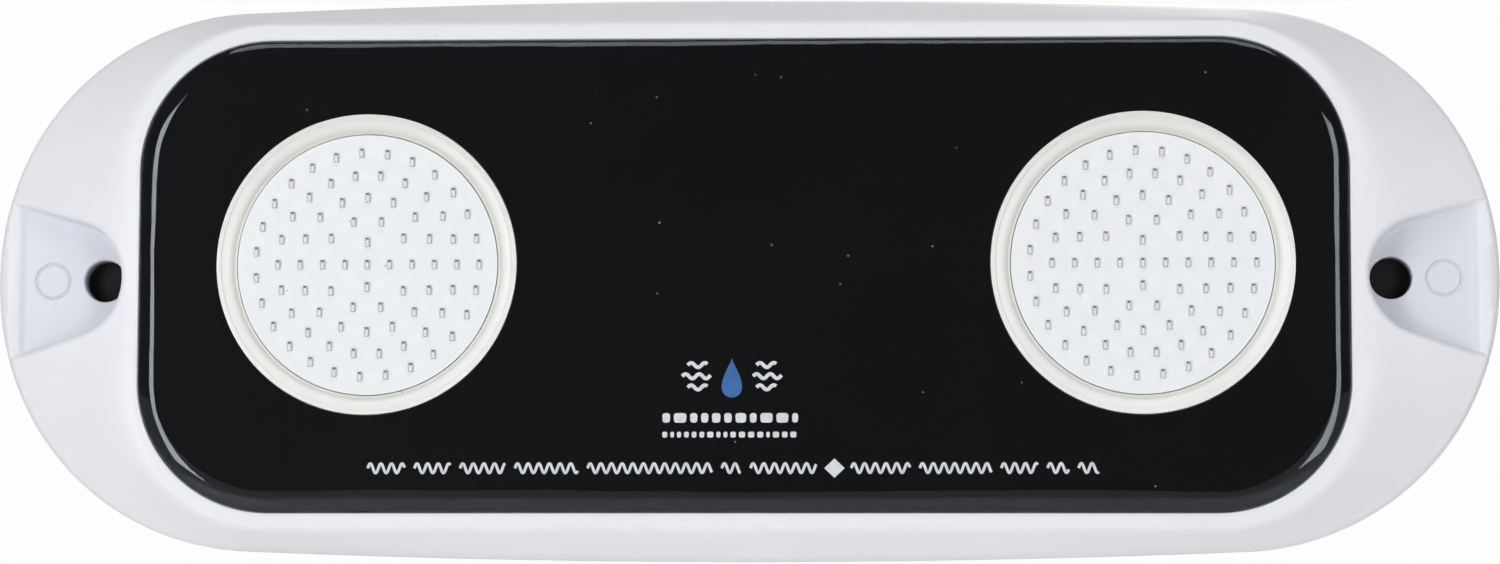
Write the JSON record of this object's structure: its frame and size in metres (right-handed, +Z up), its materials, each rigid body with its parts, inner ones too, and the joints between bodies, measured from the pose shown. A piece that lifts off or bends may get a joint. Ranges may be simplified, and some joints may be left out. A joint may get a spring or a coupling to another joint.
{
  "type": "underwater pond light",
  "caption": "Slim wall-mounted underwater light: white oval housing with two screw ears, glossy black front and round LED windows.",
  "frame": {"origin": "centre of the back face of the mounting pad, on the wall", "axes": "+X to the viewer's right along the light's length, -Y out of the wall towards the viewer, +Z up"},
  "size_m": [0.3, 0.0336, 0.1124],
  "materials": {
    "housing": "satin moulded white plastic",
    "pad_rubber": "matt black rubber sheet",
    "front_panel": "black printed sheet",
    "clear_coat": "clear glossy resin",
    "light_cup": "cream translucent plastic",
    "led_board": "white solder mask",
    "led": "white chip package with a pale phosphor",
    "thermal_pad": "matt silicone",
    "aluminium": "turned aluminium",
    "potting_resin": "dark cured resin",
    "circuit_board": "green solder mask",
    "screw_steel": "plain steel",
    "ferrite": "moulded ferrite",
    "capacitor_can": "bare aluminium can",
    "chip_black": "black moulded package",
    "terminal_blue": "blue moulded plastic",
    "wire_red": "red silicone insulation",
    "wire_black": "black silicone insulation",
    "gland_metal": "nickel-plated brass",
    "seal_rubber": "black rubber"
  },
  "bodies": {
    "root": {"housing": "housing", "mounting_pad": "pad_rubber", "front_panel": "front_panel", "clear_coat": "clear_coat", "light_cup_left": "light_cup", "light_cup_right": "light_cup", "led_board_left": "led_board", "led_board_right": "led_board", "leds_left": "led", "leds_right": "led", "thermal_pad_left": "thermal_pad", "thermal_pad_right": "thermal_pad", "heat_spreader_left": "aluminium", "heat_spreader_right": "aluminium", "potting_resin": "potting_resin", "driver_board": "circuit_board", "board_screws": "screw_steel", "inductor": "ferrite", "capacitors": "capacitor_can", "rectifier": "chip_black", "driver_chips": "chip_black", "chip_resistors": "chip_black", "terminal_block": "terminal_blue", "positive_wires": "wire_red", "negative_wires": "wire_black", "gland_body": "gland_metal", "gland_washer": "seal_rubber", "gland_locknut": "gland_metal", "gland_seal": "seal_rubber", "gland_cap": "gland_metal"}
  },
  "joints": []
}
